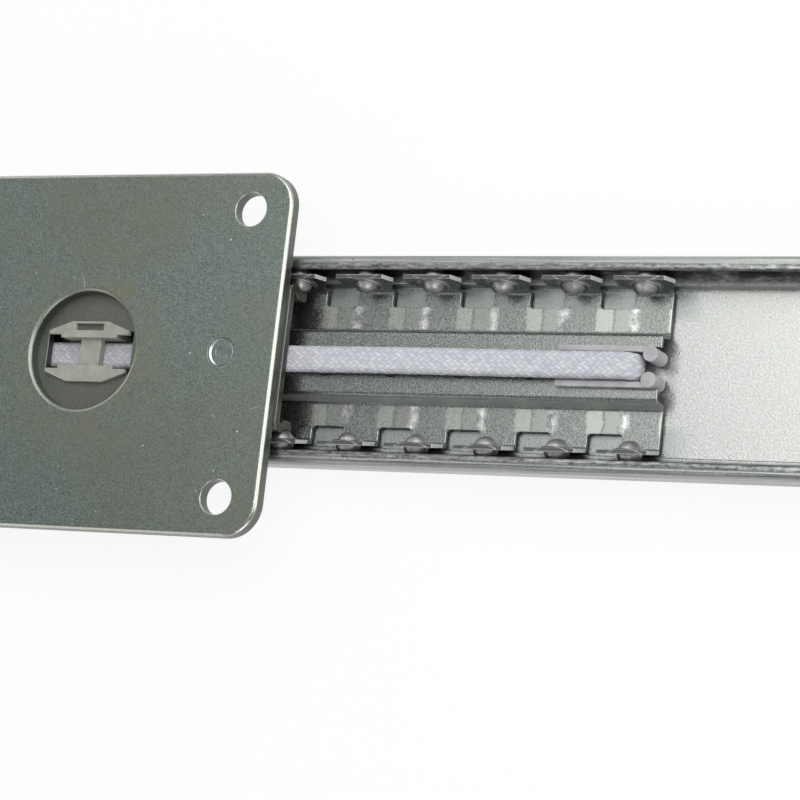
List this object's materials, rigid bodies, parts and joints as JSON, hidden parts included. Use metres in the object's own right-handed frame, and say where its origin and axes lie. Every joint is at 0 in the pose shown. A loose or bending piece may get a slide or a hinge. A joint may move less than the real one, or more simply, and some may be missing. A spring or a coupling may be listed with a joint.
{
  "type": "linear slide",
  "caption": "Ball bearing linear slide: a formed steel rail, a ball cage kept at half speed by a braided cord loop, and a carriage with a flat mounting plate.",
  "frame": {"origin": "centre of the rail's back face, which lies on the floor", "axes": "+X along the rail, +Y across it, +Z out of the mounting plate's front face"},
  "size_m": [0.54, 0.095, 0.0192],
  "materials": {
    "rail_zinc": "satin zinc plating",
    "carriage_zinc": "satin zinc plating",
    "plate_zinc": "grey passivated zinc",
    "cage_zinc": "stamped, zinc plated",
    "stop_steel": "bent sheet, zinc plated",
    "rivet_steel": "upset flush",
    "ball_steel": "polished bearing ball",
    "guide_nylon": "milky moulded nylon",
    "clamp_nylon": "beige moulded nylon",
    "cord_braid": "flat braid",
    "buffer_rubber": "matt"
  },
  "bodies": {
    "rail_body": {"rail": "rail_zinc", "end_stop_right": "stop_steel", "end_stop_left": "stop_steel", "stop_buffer_right": "buffer_rubber", "stop_buffer_left": "buffer_rubber", "end_stop_rivets": "rivet_steel", "rail_clamp_base": "clamp_nylon", "rail_clamp_cap": "clamp_nylon", "rail_clamp_rivets": "rivet_steel"},
    "cage_body": {"ball_cage": "cage_zinc", "ball_upper_01": "ball_steel", "ball_upper_02": "ball_steel", "ball_upper_03": "ball_steel", "ball_upper_04": "ball_steel", "ball_upper_05": "ball_steel", "ball_upper_06": "ball_steel", "ball_upper_07": "ball_steel", "ball_upper_08": "ball_steel", "ball_upper_09": "ball_steel", "ball_upper_10": "ball_steel", "ball_upper_11": "ball_steel", "ball_upper_12": "ball_steel", "ball_upper_13": "ball_steel", "ball_upper_14": "ball_steel", "ball_upper_15": "ball_steel", "ball_upper_16": "ball_steel", "ball_upper_17": "ball_steel", "ball_lower_01": "ball_steel", "ball_lower_02": "ball_steel", "ball_lower_03": "ball_steel", "ball_lower_04": "ball_steel", "ball_lower_05": "ball_steel", "ball_lower_06": "ball_steel", "ball_lower_07": "ball_steel", "ball_lower_08": "ball_steel", "ball_lower_09": "ball_steel", "ball_lower_10": "ball_steel", "ball_lower_11": "ball_steel", "ball_lower_12": "ball_steel", "ball_lower_13": "ball_steel", "ball_lower_14": "ball_steel", "ball_lower_15": "ball_steel", "ball_lower_16": "ball_steel", "ball_lower_17": "ball_steel", "cord_guide_right": "guide_nylon", "cord_guide_left": "guide_nylon", "sync_cord": "cord_braid"},
    "carriage_body": {"carriage_channel": "carriage_zinc", "mounting_plate": "plate_zinc", "plate_rivets": "rivet_steel", "cord_clamp_body": "clamp_nylon", "cord_clamp_cap": "clamp_nylon"}
  },
  "joints": [
    {"name": "carriage_slide", "type": "slide", "parent": "rail_body", "child": "carriage_body", "axis": [1, 0, 0], "range_m": [-0.195, 0.195]},
    {"name": "cage_slide", "type": "slide", "parent": "rail_body", "child": "cage_body", "axis": [1, 0, 0], "range_m": [-0.0975, 0.0975]}
  ],
  "couplings": [
    {"joint": "cage_slide", "follows": "carriage_slide", "ratio": 0.5}
  ]
}
